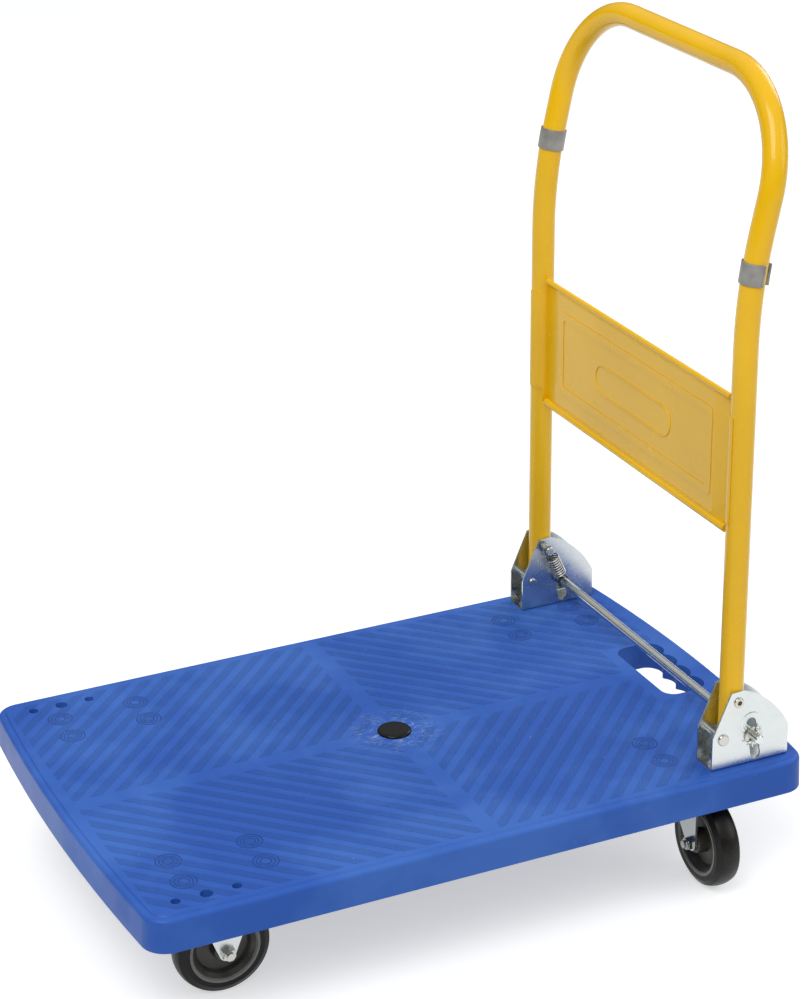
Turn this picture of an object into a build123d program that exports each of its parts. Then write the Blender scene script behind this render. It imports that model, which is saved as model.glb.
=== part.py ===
"""Folding platform cart: a moulded deck on two fixed and two swivel casters, with a
folding tube handle that a spring-loaded foot rod locks upright.

Millimetres. +Z is up and z = 0 is the floor, under the middle of the deck.
+X is the way the cart is pushed, so the handle stands at the -X end.
+Y is the cart's left. Every left piece is the mirror image of its right one.
"""
from build123d import *
from math import asin, cos, degrees, radians, sin, sqrt, tan
import os

# --- deck -------------------------------------------------------------------
DECK_LENGTH = 748.0
DECK_WIDTH = 480.0
DECK_TOP = 142.5          # height of the load surface above the floor
DECK_DEPTH = 36.0         # height of the skirt
DECK_SKIN = 4.0
SKIRT_WALL = 4.0
SKIRT_DRAFT = 2.0         # degrees that the skirt leans in towards the top
FRONT_BOW = 11.0          # how far the front edge bows out past its corners
REAR_BOW = 16.0
CORNER_RADIUS = 26.0
EDGE_FILLET = 4.5
LEDGE_WIDTH = 7.0         # the lowered rim along the top edge
LEDGE_DROP = 1.2
RIB_DEPTH = 10.5
RIB_WALL = 3.0
RIB_PITCH = 62.0

# --- features moulded in the deck ----------------------------------------------
TIE_HOLE_Y = 210.0        # line of three holes in each front corner
TIE_HOLE_X = 296.0
TIE_HOLE_PITCH = 31.3
TIE_HOLE_RADIUS = 5.0
CENTRE_TIE_HOLE_RADIUS = 6.5
BOSS_WALL = 3.0
SLOT_FRONT_X = -297.0     # straight edge of the hand slot
SLOT_DEPTH = 53.0
SLOT_HALF_LENGTH = 60.0
SLOT_CORNER = 15.0
SCALLOP_DEPTH = 6.0       # how far the finger scallops cut into the rear edge
FINGER_COUNT = 4
FINGER_RADIUS = 17.0
SLOT_WALL = 3.0
SLOT_WALL_DEPTH = 30.5    # from the load surface down
CAP_RADIUS = 18.0
CAP_RISE = 3.6
CAP_STEM_RADIUS = 11.0

# --- casters ------------------------------------------------------------------
WHEEL_RADIUS = 50.0
TYRE_WIDTH = 28.0
TYRE_SIDE = 8.0           # flat side wall stops this far inside the tread
TYRE_BEVEL = 3.5          # width of the bevel between side wall and tread
TYRE_CROWN = 2.2
RIM_RADIUS = 37.2
RIM_WALL = 3.4
RIM_INSET = 0.4           # rim edge inside the tyre's side
DISH_STEP = 4.0           # step of the dished web
WEB_WALL = 8.0
HUB_RADIUS = 12.0
HUB_LENGTH = 34.0
BUSH_RADIUS = 6.0
AXLE_RADIUS = 4.0
CASTER_X = 265.0          # centre of each caster plate
CASTER_Y = 160.0
PLATE_HOLES_X = 85.0
PLATE_HOLES_Y = 41.0
PLATE_MARGIN = 12.0
PLATE_WALL = 3.0
PLATE_CORNER = 8.0
FORK_WALL = 2.5
FORK_TIP_RADIUS = 9.0
FORK_FLARE = 21.5         # degrees from upright of the fixed fork's sides
FORK_TOP_HALF = 34.5      # half width where the flare stops, clear of the screws
TRAIL = 40.0              # swivel axis to wheel axle
RACE_HEIGHT = 12.0        # from the swivel plate down to the fork's crown
RACE_RADIUS = 20.0
RACE_BORE = 9.0
BALL_RADIUS = 2.5
BALL_CIRCLE = 14.5
BALL_COUNT = 12
KINGPIN_RADIUS = 6.0
KINGPIN_HEAD_RADIUS = 10.0
KINGPIN_HEAD = 4.0
CROWN_TAIL = 24.0         # crown behind the swivel axis
CROWN_CORNER = 8.0
CROWN_SLOPE = 12.0        # drop of the legs' sloped front corner
CROWN_SKIRT = 9.0         # height of the legs behind the swivel axis
SCREW_RADIUS = 3.0
SCREW_HEX = 10.0          # across flats
SCREW_HEAD = 3.0

# --- handle ---------------------------------------------------------------------
TUBE_RADIUS = 12.5
TUBE_WALL = 1.5
LEG_X = -282.2            # centre of the upright part of the legs
LEG_Y = 207.5
PIVOT_Z = 216.2
BEND_Z = 654.0            # where the upright and the leaning centre lines meet
LEAN = 12.35              # degrees
BEND_RADIUS = 560.0
BAR_Z = 848.5
BAR_CORNER_RADIUS = 107.0
PIVOT_RADIUS = 4.0
PIVOT_HEAD_RADIUS = 5.5
PIVOT_HEAD = 2.2
PIVOT_ROLL = 2.0          # rolled end outside the bracket
PIVOT_BORE = 2.6
CLIP_HEIGHT = 22.0
CLIP_WALL = 1.5
CLIP_FIT = 0.25           # between the clip and the tube
CLIP_GAP_ANGLE = 54.0
CLIP_GAP_TOWARDS = 125.0  # degrees round from +X
LEFT_CLIP_Z = 672.0
RIGHT_CLIP_Z = 695.0

# --- cross panel ----------------------------------------------------------------
PANEL_BOTTOM = 397.5      # centre of the lower rolled rim
PANEL_TOP = 539.5
PANEL_WALL = 1.2
PANEL_FACE_X = 4.2        # front face ahead of the legs' centre line
PANEL_END_STRIP = 31.5    # width of each slanted end strip
PANEL_TAB_DROP = 15.0     # tabs stop short of the rims
TOP_ROLL_RADIUS = 2.8
BOTTOM_ROLL_RADIUS = 4.2
TAB_PAST_FRONT = 12.0     # degrees that each tab wraps past the tube's front
ROLL_SHORT = 6.0          # rolled rims stop short of the legs
BORDER_INSET = 23.0       # raised border from the rims
BORDER_WIDTH = 9.0
BORDER_RISE = 0.8

# --- handle brackets and lock ---------------------------------------------------
BRACKET_WALL = 2.0
BRACKET_FRONT = 29.3      # ahead of the pivot
BRACKET_REAR = 61.1       # behind the pivot
BRACKET_FRONT_HEIGHT = 37.8
BRACKET_REAR_HEIGHT = 34.9
BRACKET_HEIGHT = 86.2
BRACKET_TOP_FRONT = 8.6   # top front corner ahead of the pivot
BRACKET_TOP_REAR = 5.8
BRACKET_TOP_FALL = 0.7    # front corner of the top edge below its rear corner
BRACKET_BULGE = 7.4       # how far the sloped edge bows out
BRACKET_BEND = 3.0        # outer radius along the base
TUBE_SIDE_GAP = 0.8       # each side of the tube, inside the bracket
LOCK_RADIUS = 5.0
LOCK_BELOW_PIVOT = 41.2
LOCK_BEHIND_PIVOT = 18.4
LOCK_SLOPE = 10.0         # degrees that the lock slots lean back going down
LOCK_TRAVEL = 23.0        # down, from rest
LOCK_RISE = 15.0          # spare slot above the rest position
LOCK_CLEARANCE = 0.7
LOCK_END = 14.0           # rod beyond the bracket
LOCK_WASHER_RADIUS = 10.0
LOCK_WASHER_WALL = 2.0
INNER_WASHER_RADIUS = 7.2
INNER_WASHER_WALL = 1.2
SPLIT_PIN_RADIUS = 1.6
SPLIT_PIN_LEAN = 33.4     # degrees that the eye leans back from upright
SPLIT_PIN_HOLE = 1.65
EYE_RADIUS = 2.6
EYE_WIRE = 1.1
PIN_LEG_LENGTH = 5.7
PIN_LEG_SPLAY = 37.9      # degrees
STOP_RADIUS = 4.0
STOP_SLEEVE_WALL = 1.0
STOP_HEAD_RADIUS = 6.2
STOP_HEAD = 2.2
STOP_TAIL_RADIUS = 4.6
STOP_TAIL = 2.4
STOP_BELOW_PIVOT = 39.2
RUNNING_GAP = 0.05        # radial, pins and axles
FREE_GAP = 0.3            # between faces that pass each other
SWEEP_GAP = 0.7           # tube's end to the lock rod as the handle folds
SPRING_WIRE = 0.75
SPRING_LINK = 0.86        # radius of the straight links at the coil's ends
SPRING_BEAD = 0.98        # radius of the bead over each end of the coil
SPRING_RADIUS = 7.2
SPRING_COILS = 11
SPRING_OUT = 8.3          # spring's centre plane inboard of the bracket
SPRING_SEAT = 1.2         # pivot's shank beyond the spring's centre plane
HEAD_ROUNDING = 0.6       # of the height of each rivet head
BOLT_RADIUS = 4.0
BOLT_HEX = 13.0           # across flats
BOLT_HEAD = 5.3
BOLT_TAIL = 2.0           # thread beyond the nut
NUT_HEIGHT = 6.5
WASHER_RADIUS = 8.5
WASHER_WALL = 1.6
NUT_COLLAR = 1.5
BRACKET_BOLT_INSET = 13.0

# --- worked out ---------------------------------------------------------------
DECK_BOTTOM = DECK_TOP - DECK_DEPTH
CAVITY_TOP = DECK_TOP - DECK_SKIN
SEAT_Z = CAVITY_TOP - RIB_DEPTH               # underside of ribs, bosses and caster seats
PLATE_UNDER = SEAT_Z - PLATE_WALL
CROWN_TOP = PLATE_UNDER - RACE_HEIGHT
BALL_Z = CROWN_TOP + RACE_HEIGHT / 2
FORK_HALF_GAP = HUB_LENGTH / 2 + 0.5
FORK_OUT = FORK_HALF_GAP + FORK_WALL
BRACKET_INNER = LEG_Y - TUBE_RADIUS - TUBE_SIDE_GAP
BRACKET_OUTER = LEG_Y + TUBE_RADIUS + TUBE_SIDE_GAP
LOCK_X = LEG_X - LOCK_BEHIND_PIVOT
LOCK_Z = PIVOT_Z - LOCK_BELOW_PIVOT
LOCK_DOWN = Vector(-sin(radians(LOCK_SLOPE)), 0, -cos(radians(LOCK_SLOPE)))
LOCK_REST = Vector(LOCK_X, 0, LOCK_Z)
TUBE_END_RADIUS = sqrt(LOCK_BEHIND_PIVOT**2 + LOCK_BELOW_PIVOT**2) - LOCK_RADIUS - SWEEP_GAP
STOP_X = LEG_X + TUBE_RADIUS + STOP_RADIUS + FREE_GAP
STOP_Z = PIVOT_Z - STOP_BELOW_PIVOT
BAR_X = LEG_X - (BAR_Z - BEND_Z) * tan(radians(LEAN))
PLATE_LENGTH = PLATE_HOLES_X + 2 * PLATE_MARGIN
PLATE_WIDTH = PLATE_HOLES_Y + 2 * PLATE_MARGIN
BRACKET_BOLTS_X = (LEG_X + BRACKET_FRONT - BRACKET_BOLT_INSET,
                   LEG_X - BRACKET_REAR + BRACKET_BOLT_INSET)
SIDES = {"left": 1, "right": -1}

nodes = {}


def add(name, *solids):
    """Keep the solids of one named piece."""
    nodes[name] = Compound(children=list(solids)) if len(solids) > 1 else solids[0]


def add_pair(name, left):
    """Keep a left piece and its mirror image."""
    add(f"{name}_left", left)
    add(f"{name}_right", left.mirror(Plane.XZ))


def rod(start, end, radius):
    """A round bar between two points."""
    line = Vector(*end) - Vector(*start)
    plane = Plane(origin=start, z_dir=line)
    return plane * extrude(Circle(radius), line.length)


def rod_y(x, y0, y1, z, radius):
    return rod((x, y0, z), (x, y1, z), radius)


def rod_z(x, y, z0, z1, radius):
    return rod((x, y, z0), (x, y, z1), radius)


def box(x0, x1, y0, y1, z0, z1):
    """A box between two opposite corners."""
    return Pos((x0 + x1) / 2, (y0 + y1) / 2, (z0 + z1) / 2) * Box(x1 - x0, y1 - y0, z1 - z0)


def turned(profile):
    """Turn a profile, drawn as (radius, height) points, about the Z axis."""
    return revolve(make_face(Plane.XZ * Polyline(*profile, close=True)), Axis.Z, 360)


def hexagon_prism(height):
    return extrude(RegularPolygon(BOLT_HEX / 2, 6, major_radius=False), height)


def both_ways(solid):
    """A solid and its mirror image across the cart's middle, as a list."""
    return [solid, solid.mirror(Plane.XZ)]


# --- deck -------------------------------------------------------------------
def deck_outline(inset):
    """The deck's plan: bowed ends, straight sides, rounded corners."""
    half = DECK_WIDTH / 2 - inset
    end = DECK_LENGTH / 2 - inset
    front = ThreePointArc((end - FRONT_BOW, -half), (end, 0), (end - FRONT_BOW, half))
    rear = ThreePointArc((REAR_BOW - end, half), (-end, 0), (REAR_BOW - end, -half))
    face = make_face([front, Line(front @ 1, rear @ 0), rear, Line(rear @ 1, front @ 0)])
    return fillet(face.vertices(), CORNER_RADIUS - inset)


def deck_block(inset, z0, z1):
    """The deck's plan drawn up from z0 to z1, with the skirt's draft."""
    return Pos(0, 0, z0) * extrude(deck_outline(inset), z1 - z0, taper=SKIRT_DRAFT)


def deck_shell():
    """Skirt and top skin, with the lowered rim round the load surface."""
    outer = deck_block(0, DECK_BOTTOM, DECK_TOP)
    lean_in = DECK_DEPTH * tan(radians(SKIRT_DRAFT))
    rim = Pos(0, 0, DECK_TOP - LEDGE_DROP) * (
        extrude(deck_outline(-1), LEDGE_DROP + 1)
        - extrude(deck_outline(LEDGE_WIDTH + lean_in), LEDGE_DROP + 1, taper=45)
    )
    shell = outer - rim
    shell = fillet(outer_rim_edges(shell), EDGE_FILLET)
    return shell - deck_block(SKIRT_WALL, DECK_BOTTOM - 1, CAVITY_TOP)


def outer_rim_edges(shell):
    """The outer edges of the lowered rim."""
    rim = [e for e in shell.edges() if abs(e.center().Z - (DECK_TOP - LEDGE_DROP)) < 0.05]
    reach = DECK_DEPTH * tan(radians(SKIRT_DRAFT)) + LEDGE_WIDTH / 2
    inner = extrude(deck_outline(reach), DECK_TOP + 1)
    return [e for e in rim if not inner.is_inside(e @ 0.5)]


def hand_slot(grow=0.0):
    """The hand slot's plan: a straight front edge and a scalloped rear one."""
    depth = SLOT_DEPTH - SCALLOP_DEPTH
    plate = Rectangle(depth + 2 * grow, 2 * (SLOT_HALF_LENGTH + grow))
    plate = Pos(SLOT_FRONT_X - depth / 2, 0) * fillet(plate.vertices(), SLOT_CORNER + grow)
    pitch = 2 * (SLOT_HALF_LENGTH - FINGER_RADIUS) / (FINGER_COUNT - 1)
    for finger in range(FINGER_COUNT):
        y = -SLOT_HALF_LENGTH + FINGER_RADIUS + finger * pitch
        plate += Pos(SLOT_FRONT_X - SLOT_DEPTH + FINGER_RADIUS, y) * Circle(FINGER_RADIUS + grow)
    return plate


def deck_ribs():
    """The grid of ribs under the load surface."""
    ribs = []
    for i in range(-3, 4):
        y = i * RIB_PITCH
        ribs.append(box(-DECK_LENGTH, DECK_LENGTH, y - RIB_WALL / 2, y + RIB_WALL / 2,
                        SEAT_Z, CAVITY_TOP + 1))
    for i in range(-5, 6):
        x = i * RIB_PITCH
        ribs.append(box(x - RIB_WALL / 2, x + RIB_WALL / 2, -DECK_WIDTH, DECK_WIDTH,
                        SEAT_Z, CAVITY_TOP + 1))
    return ribs


def tie_holes():
    """Centre and radius of the six holes in the front corners."""
    for side in (1, -1):
        yield TIE_HOLE_X, side * TIE_HOLE_Y, CENTRE_TIE_HOLE_RADIUS
        for step in (-1, 1):
            yield TIE_HOLE_X + step * TIE_HOLE_PITCH, side * TIE_HOLE_Y, TIE_HOLE_RADIUS


def caster_screws_xy():
    """Places of the sixteen caster screws."""
    for x in (CASTER_X, -CASTER_X):
        for y in (CASTER_Y, -CASTER_Y):
            for along in (-1, 1):
                for across in (-1, 1):
                    yield x + along * PLATE_HOLES_X / 2, y + across * PLATE_HOLES_Y / 2


def bracket_bolts_xy():
    """Places of the four bolts that hold the brackets."""
    return [(x, side * LEG_Y) for x in BRACKET_BOLTS_X for side in (1, -1)]


def make_deck():
    """The whole moulding."""
    cavity = deck_block(SKIRT_WALL - 0.5, DECK_BOTTOM, CAVITY_TOP + 0.5)
    under = Pos(0, 0, DECK_TOP - SLOT_WALL_DEPTH) * extrude(hand_slot(SLOT_WALL), SLOT_WALL_DEPTH - 1)
    for rib in deck_ribs():
        under += rib
    for x, y, radius in tie_holes():
        under += rod_z(x, y, SEAT_Z, CAVITY_TOP + 1, radius + BOSS_WALL)
    for x, y in caster_screws_xy():
        under += rod_z(x, y, SEAT_Z, CAVITY_TOP + 1, SCREW_RADIUS + BOSS_WALL)
    for x, y in bracket_bolts_xy():
        under += rod_z(x, y, SEAT_Z, CAVITY_TOP + 1, WASHER_RADIUS)
    under += rod_z(0, 0, SEAT_Z, CAVITY_TOP + 1, CAP_STEM_RADIUS + BOSS_WALL)
    deck = deck_shell() + (under & cavity)
    deck -= Pos(0, 0, DECK_BOTTOM - 1) * extrude(hand_slot(), DECK_DEPTH + 2)
    for x, y, radius in tie_holes():
        deck -= rod_z(x, y, SEAT_Z - 1, DECK_TOP + 1, radius)
    for x, y in caster_screws_xy():
        deck -= rod_z(x, y, SEAT_Z - 1, CAVITY_TOP, SCREW_RADIUS)
    for x, y in bracket_bolts_xy():
        deck -= rod_z(x, y, SEAT_Z - 1, DECK_TOP + 1, BOLT_RADIUS)
    return deck - rod_z(0, 0, SEAT_Z - 1, DECK_TOP + 1, CAP_STEM_RADIUS)


def make_cap():
    """Domed plug over the hole in the middle of the deck."""
    dome_radius = (CAP_RADIUS**2 + CAP_RISE**2) / (2 * CAP_RISE)
    dome = Pos(0, 0, DECK_TOP + CAP_RISE - dome_radius) * Sphere(dome_radius)
    dome &= rod_z(0, 0, DECK_TOP, DECK_TOP + 2 * CAP_RISE, CAP_RADIUS)
    return dome + rod_z(0, 0, SEAT_Z, DECK_TOP, CAP_STEM_RADIUS)


# --- wheels -------------------------------------------------------------------
def tyre_solid():
    """Crowned solid tyre about the Z axis."""
    half = TYRE_WIDTH / 2
    edge = WHEEL_RADIUS - TYRE_CROWN
    with BuildPart() as part:
        with BuildSketch(Plane.XZ):
            with BuildLine():
                side = Line((RIM_RADIUS, -half), (WHEEL_RADIUS - TYRE_SIDE, -half))
                low = Line(side @ 1, (edge, TYRE_BEVEL - half))
                crown = ThreePointArc(low @ 1, (WHEEL_RADIUS, 0), (edge, half - TYRE_BEVEL))
                high = Line(crown @ 1, (WHEEL_RADIUS - TYRE_SIDE, half))
                top = Line(high @ 1, (RIM_RADIUS, half))
                Line(top @ 1, side @ 0)
            make_face()
        revolve(axis=Axis.Z)
    return part.part


def wheel_core():
    """Rim, dished web and hub about the Z axis, bored for the bush."""
    half = TYRE_WIDTH / 2 - RIM_INSET
    inner = RIM_RADIUS - RIM_WALL
    web = WEB_WALL / 2
    upper = [(BUSH_RADIUS, HUB_LENGTH / 2), (HUB_RADIUS - 1, HUB_LENGTH / 2),
             (HUB_RADIUS, HUB_LENGTH / 2 - 1), (HUB_RADIUS + 1.5, web + 1),
             (inner - DISH_STEP - 3, web), (inner - DISH_STEP - 0.5, web + DISH_STEP),
             (inner, half - 1), (inner + 0.6, half),
             (RIM_RADIUS, half)]
    lower = [(r, -z) for r, z in reversed(upper)]
    return turned(upper + lower)


def bush_solid():
    """Steel bush that the wheel turns with, running on the axle bolt."""
    half = HUB_LENGTH / 2 + FREE_GAP / 2
    return rod_z(0, 0, -half, half, BUSH_RADIUS) - rod_z(0, 0, -half, half, AXLE_RADIUS + RUNNING_GAP)


def axle_bolt():
    """Axle bolt along Z, its head below and its thread end above."""
    shank = rod_z(0, 0, -FORK_OUT, FORK_OUT + NUT_HEIGHT + BOLT_TAIL + 1, AXLE_RADIUS)
    return shank + Pos(0, 0, -FORK_OUT - BOLT_HEAD) * hexagon_prism(BOLT_HEAD)


def axle_nut():
    """Lock nut: a hexagon with a round collar."""
    nut = (hexagon_prism(NUT_HEIGHT - NUT_COLLAR)
           + rod_z(0, 0, 0, NUT_HEIGHT, BOLT_HEX / 2 - NUT_COLLAR * 0.4))
    return Pos(0, 0, FORK_OUT) * (nut - rod_z(0, 0, -1, NUT_HEIGHT + 1, AXLE_RADIUS))


def place_wheel_set(name, side, wheel_xy, out):
    """Turn the wheel pieces so the thread end points along out, and place them."""
    place = Location(Plane(origin=(*wheel_xy, WHEEL_RADIUS), x_dir=(0, 0, 1), z_dir=out))
    add(f"tyre_{name}_{side}", place * tyre_solid())
    add(f"wheel_core_{name}_{side}", place * wheel_core())
    add(f"wheel_bush_{name}_{side}", place * bush_solid())
    add(f"axle_bolt_{name}_{side}", place * axle_bolt())
    add(f"axle_nut_{name}_{side}", place * axle_nut())


# --- casters ------------------------------------------------------------------
def caster_plate():
    """Mounting plate about the origin, its top at the caster seat."""
    corners = Rectangle(PLATE_LENGTH, PLATE_WIDTH)
    plate = Pos(0, 0, PLATE_UNDER) * extrude(fillet(corners.vertices(), PLATE_CORNER), PLATE_WALL)
    for along in (-1, 1):
        for across in (-1, 1):
            plate -= rod_z(along * PLATE_HOLES_X / 2, across * PLATE_HOLES_Y / 2,
                           PLATE_UNDER - 1, SEAT_Z + 1, SCREW_RADIUS)
    return plate


def fixed_fork():
    """Plate with two tapered legs that carry an axle along Y."""
    rise = PLATE_UNDER - WHEEL_RADIUS
    flare = radians(FORK_FLARE)
    shoulder = (FORK_TOP_HALF - FORK_TIP_RADIUS / cos(flare)) / tan(flare)
    tip_x = FORK_TIP_RADIUS * cos(flare)
    tip_z = -FORK_TIP_RADIUS * sin(flare)
    legs = make_face([
        Polyline((-FORK_TOP_HALF, shoulder), (-FORK_TOP_HALF, rise), (FORK_TOP_HALF, rise),
                 (FORK_TOP_HALF, shoulder), (tip_x, tip_z)),
        ThreePointArc((tip_x, tip_z), (0, -FORK_TIP_RADIUS), (-tip_x, tip_z)),
        Line((-tip_x, tip_z), (-FORK_TOP_HALF, shoulder)),
    ]) - Circle(AXLE_RADIUS)
    fork = caster_plate()
    for y in (-FORK_OUT, FORK_HALF_GAP):
        plane = Plane(origin=(0, y + FORK_WALL, WHEEL_RADIUS), x_dir=(1, 0, 0), z_dir=(0, -1, 0))
        fork += plane * extrude(legs, FORK_WALL)
    return fork


def swivel_plate():
    """Swivel caster's plate with the upper ball race under it."""
    race = BALL_Z + BALL_RADIUS + FREE_GAP
    ring = turned([(RACE_BORE, PLATE_UNDER), (RACE_RADIUS, PLATE_UNDER),
                   (RACE_RADIUS - 2, race), (RACE_BORE, race)])
    return caster_plate() + ring - rod_z(0, 0, CROWN_TOP, SEAT_Z + 1, KINGPIN_RADIUS)


def swivel_fork():
    """Crown, lower race and two legs; the axle lies along X, a trail out along +Y."""
    tail = -CROWN_TAIL
    nose = TRAIL + FORK_TIP_RADIUS
    crown_under = CROWN_TOP - FORK_WALL
    crown = box(-FORK_OUT, FORK_OUT, tail, nose, crown_under, CROWN_TOP)
    crown = fillet(crown.edges().filter_by(Axis.Z), CROWN_CORNER)
    back = tail + CROWN_CORNER
    heel = (TRAIL - FORK_TIP_RADIUS * 0.8, WHEEL_RADIUS - FORK_TIP_RADIUS * 0.6)
    leg = make_face([
        Polyline((back, CROWN_TOP), (nose - CROWN_CORNER, CROWN_TOP),
                 (nose, CROWN_TOP - CROWN_SLOPE), (nose, WHEEL_RADIUS)),
        ThreePointArc((nose, WHEEL_RADIUS), (TRAIL, WHEEL_RADIUS - FORK_TIP_RADIUS), heel),
        Polyline(heel, (back, CROWN_TOP - CROWN_SKIRT), (back, CROWN_TOP)),
    ]) - Pos(TRAIL, WHEEL_RADIUS) * Circle(AXLE_RADIUS)
    fork = crown
    for x in (-FORK_OUT, FORK_HALF_GAP):
        fork += Plane(origin=(x, 0, 0), x_dir=(0, 1, 0), z_dir=(1, 0, 0)) * extrude(leg, FORK_WALL)
    race_top = BALL_Z - BALL_RADIUS - FREE_GAP
    fork += rod_z(0, 0, CROWN_TOP, race_top, RACE_RADIUS - 1.5)
    return fork - rod_z(0, 0, crown_under - 1, race_top + 1, KINGPIN_RADIUS + RUNNING_GAP)


def race_balls():
    """The ring of balls between the two races."""
    balls = []
    for i in range(BALL_COUNT):
        place = Rot(0, 0, i * 360 / BALL_COUNT) * Pos(BALL_CIRCLE, 0, BALL_Z)
        balls.append(place * Sphere(BALL_RADIUS))
    return Compound(children=balls)


def kingpin():
    """Headed pin, riveted into the plate, that the fork turns on."""
    head_top = CROWN_TOP - FORK_WALL - FREE_GAP
    head = rod_z(0, 0, head_top - KINGPIN_HEAD, head_top, KINGPIN_HEAD_RADIUS)
    return rod_z(0, 0, head_top, SEAT_Z, KINGPIN_RADIUS) + head


def make_casters():
    for side, sign in SIDES.items():
        front = Pos(CASTER_X, sign * CASTER_Y, 0)
        rear = Pos(-CASTER_X, sign * CASTER_Y, 0) * Rot(0, 0, 0 if sign > 0 else 180)
        add(f"fixed_fork_{side}", front * fixed_fork())
        add(f"swivel_plate_{side}", rear * swivel_plate())
        add(f"kingpin_{side}", rear * kingpin())
        add(f"swivel_fork_{side}", rear * swivel_fork())
        add(f"race_balls_{side}", rear * race_balls())
        place_wheel_set("front", side, (CASTER_X, sign * CASTER_Y), (0, sign, 0))
        place_wheel_set("rear", side, (-CASTER_X, sign * (CASTER_Y + TRAIL)), (1, 0, 0))
    screws = []
    for x, y in caster_screws_xy():
        screw = rod_z(x, y, PLATE_UNDER, CAVITY_TOP, SCREW_RADIUS)
        head = extrude(RegularPolygon(SCREW_HEX / 2, 6, major_radius=False), SCREW_HEAD)
        screws.append(screw + Pos(x, y, PLATE_UNDER - SCREW_HEAD) * head)
    add("caster_screws", *screws)


# --- brackets, pivots and stops ---------------------------------------------------
def bracket_profile():
    """Side view of a bracket, as (x, height above the deck)."""
    front = LEG_X + BRACKET_FRONT
    rear = LEG_X - BRACKET_REAR
    top_front = (LEG_X + BRACKET_TOP_FRONT, BRACKET_HEIGHT - BRACKET_TOP_FALL)
    top_rear = (LEG_X - BRACKET_TOP_REAR, BRACKET_HEIGHT)
    rear_top = (rear, BRACKET_REAR_HEIGHT)
    run, fall = top_rear[0] - rear, BRACKET_HEIGHT - BRACKET_REAR_HEIGHT
    bulge = BRACKET_BULGE / sqrt(run**2 + fall**2)
    middle = ((top_rear[0] + rear) / 2 - fall * bulge, BRACKET_HEIGHT - fall / 2 + run * bulge)
    return make_face([
        Line((rear, 0), (front, 0)),
        Line((front, 0), (front, BRACKET_FRONT_HEIGHT)),
        Line((front, BRACKET_FRONT_HEIGHT), top_front),
        Line(top_front, top_rear),
        ThreePointArc(top_rear, middle, rear_top),
        Line(rear_top, (rear, 0)),
    ])


def lock_slot():
    """The slot that the lock rod slides in, as a bar across the cart's left side."""
    radius = LOCK_RADIUS + LOCK_CLEARANCE
    top = LOCK_REST - LOCK_DOWN * LOCK_RISE
    bottom = LOCK_REST + LOCK_DOWN * LOCK_TRAVEL
    ends = [rod_y(p.X, 0, DECK_WIDTH, p.Z, radius) for p in (top, bottom)]
    middle = (top + bottom) * 0.5
    length = (bottom - top).length
    web = Location(Plane(origin=(middle.X, DECK_WIDTH / 2, middle.Z), x_dir=LOCK_DOWN, z_dir=(0, 1, 0)))
    return ends[0] + ends[1] + web * Box(length, 2 * radius, DECK_WIDTH)


def make_bracket():
    """Left bracket: a channel of two shaped plates on a base."""
    wide = BRACKET_OUTER - BRACKET_INNER + 2 * BRACKET_WALL
    plane = Plane(origin=(0, BRACKET_OUTER + BRACKET_WALL, DECK_TOP), x_dir=(1, 0, 0), z_dir=(0, -1, 0))
    block = plane * extrude(bracket_profile(), wide)
    corners = block.edges().filter_by(Axis.X).group_by(Axis.Z)[0]
    block = fillet(corners, BRACKET_BEND)
    room = box(-DECK_LENGTH, 0, BRACKET_INNER, BRACKET_OUTER, DECK_TOP + BRACKET_WALL, BAR_Z)
    room = fillet(room.edges().filter_by(Axis.X).group_by(Axis.Z)[0], BRACKET_BEND / 2)
    bracket = block - room - lock_slot()
    bracket -= rod_y(LEG_X, 0, DECK_WIDTH, PIVOT_Z, PIVOT_RADIUS)
    bracket -= rod_y(STOP_X, 0, DECK_WIDTH, STOP_Z, STOP_RADIUS - STOP_SLEEVE_WALL)
    for x in BRACKET_BOLTS_X:
        bracket -= rod_z(x, LEG_Y, DECK_TOP - 1, DECK_TOP + 10, BOLT_RADIUS)
    return bracket


def rounded_head(x, seat_y, end_y, z, radius):
    """A round head from its seat to its end, rounded over at the end."""
    low, high = sorted((seat_y, end_y))
    head = rod_y(x, low, high, z, radius)
    end = -1 if end_y > seat_y else 0
    return fillet(head.edges().group_by(Axis.Y)[end], HEAD_ROUNDING * (high - low))


def pivot_rivet():
    """Left pivot: rolled hollow end outboard, long shank and a head for the spring inboard."""
    out = BRACKET_OUTER + BRACKET_WALL
    neck = BRACKET_INNER - BRACKET_WALL - SPRING_OUT - SPRING_SEAT
    rivet = rod_y(LEG_X, neck, out, PIVOT_Z, PIVOT_RADIUS)
    rolled = rounded_head(LEG_X, out, out + PIVOT_ROLL, PIVOT_Z, PIVOT_HEAD_RADIUS)
    head = rounded_head(LEG_X, neck, neck - PIVOT_HEAD, PIVOT_Z, PIVOT_HEAD_RADIUS)
    bore = rod_y(LEG_X, out - 3 * PIVOT_ROLL, out + 2 * PIVOT_ROLL, PIVOT_Z, PIVOT_BORE)
    return rivet + rolled + head - bore


def stop_rivet():
    """Left stop: a rivet across the bracket, in front of the tube's end."""
    out = BRACKET_OUTER + BRACKET_WALL
    inner = BRACKET_INNER - BRACKET_WALL
    shank = rod_y(STOP_X, inner, out, STOP_Z, STOP_RADIUS - STOP_SLEEVE_WALL)
    head = rounded_head(STOP_X, out, out + STOP_HEAD, STOP_Z, STOP_HEAD_RADIUS)
    tail = rounded_head(STOP_X, inner, inner - STOP_TAIL, STOP_Z, STOP_TAIL_RADIUS)
    return shank + head + tail


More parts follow.
